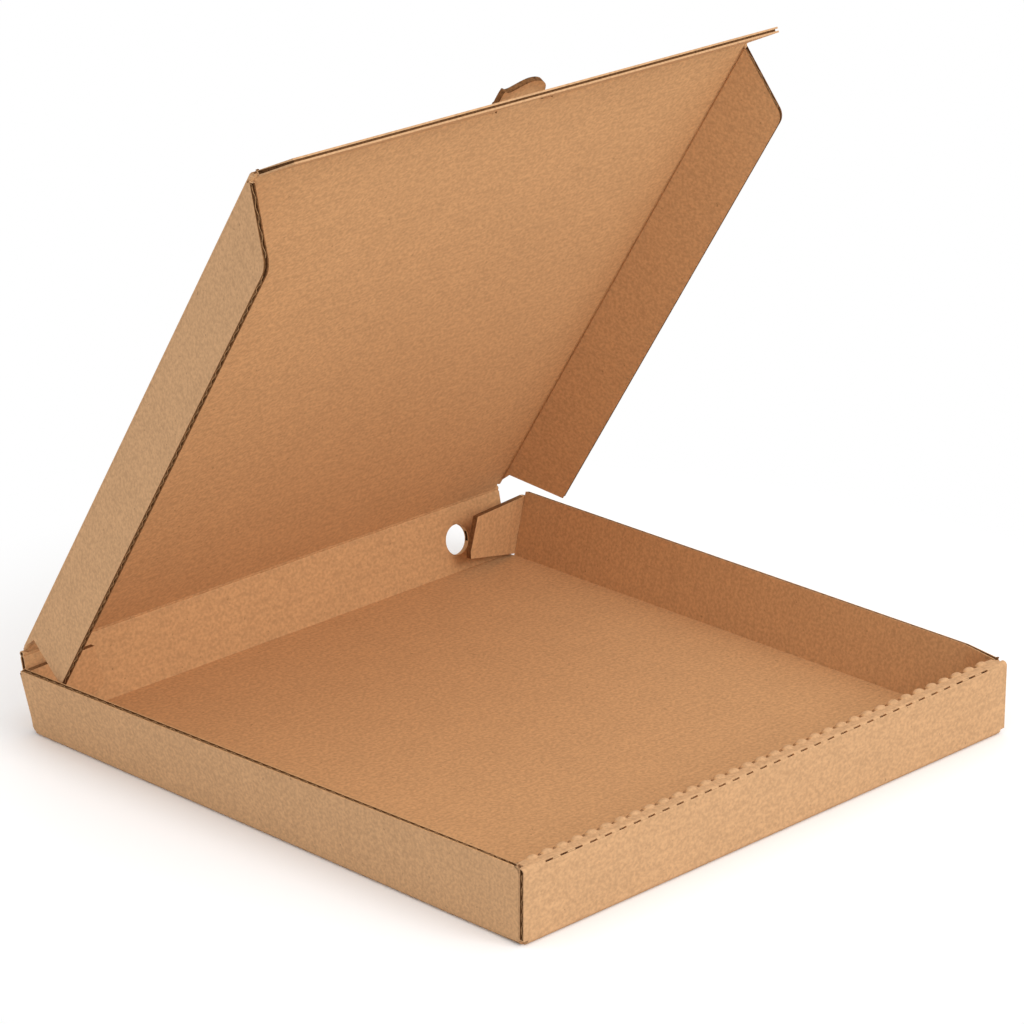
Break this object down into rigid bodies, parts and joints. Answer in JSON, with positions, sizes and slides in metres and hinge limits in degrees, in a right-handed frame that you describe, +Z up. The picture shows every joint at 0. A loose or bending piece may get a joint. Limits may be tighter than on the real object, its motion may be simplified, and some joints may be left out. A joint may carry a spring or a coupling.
{
  "type": "pizza box",
  "caption": "Square die-cut pizza box in brown corrugated board, standing open, with a rolled front wall, loose rear corner tabs and a flapped lid.",
  "frame": {"origin": "middle of the underside of the tray's floor", "axes": "+X to the right along the front wall, +Y from the front wall to the hinge, +Z up"},
  "size_m": [0.3725, 0.3674, 0.349],
  "materials": {
    "tray_board": "matte uncoated brown kraft corrugated board",
    "lid_board": "matte uncoated brown kraft corrugated board"
  },
  "bodies": {
    "tray": {"tray": "tray_board"},
    "lid": {"lid_panel": "lid_board"},
    "lid_left_flap": {"lid_left_flap": "lid_board"},
    "lid_right_flap": {"lid_right_flap": "lid_board"},
    "lid_front_flap": {"lid_front_flap": "lid_board"},
    "left_corner_tab": {"left_corner_tab": "tray_board"},
    "right_corner_tab": {"right_corner_tab": "tray_board"}
  },
  "joints": [
    {"name": "lid_hinge", "type": "hinge", "parent": "tray", "child": "lid", "pos_m": [0, 0.18638, 0.04034], "axis": [-1, 0, 0], "range_deg": [-55, 116]},
    {"name": "lid_left_flap_fold", "type": "hinge", "parent": "lid", "child": "lid_left_flap", "pos_m": [-0.1724, 0.09548, 0.18753], "axis": [0, 0.5255, -0.8508], "range_deg": [-22, 46.4]},
    {"name": "lid_right_flap_fold", "type": "hinge", "parent": "lid", "child": "lid_right_flap", "pos_m": [0.1724, 0.09548, 0.18753], "axis": [0, -0.5255, 0.8508], "range_deg": [-33, 69.6]},
    {"name": "lid_front_flap_fold", "type": "hinge", "parent": "lid", "child": "lid_front_flap", "pos_m": [0, 0.00447, 0.33489], "axis": [-1, 0, 0], "range_deg": [-58, 32]},
    {"name": "left_corner_tab_fold", "type": "hinge", "parent": "tray", "child": "left_corner_tab", "pos_m": [-0.1745, 0.1728, 0.003], "axis": [0.2334, 0, -0.9724], "range_deg": [0, 85]},
    {"name": "right_corner_tab_fold", "type": "hinge", "parent": "tray", "child": "right_corner_tab", "pos_m": [0.1745, 0.1728, 0.003], "axis": [0.2419, 0, 0.9703], "range_deg": [-9, 75]}
  ],
  "couplings": [
    {"joint": "lid_left_flap_fold", "follows": "lid_hinge", "ratio": 0.4},
    {"joint": "lid_right_flap_fold", "follows": "lid_hinge", "ratio": 0.6}
  ]
}
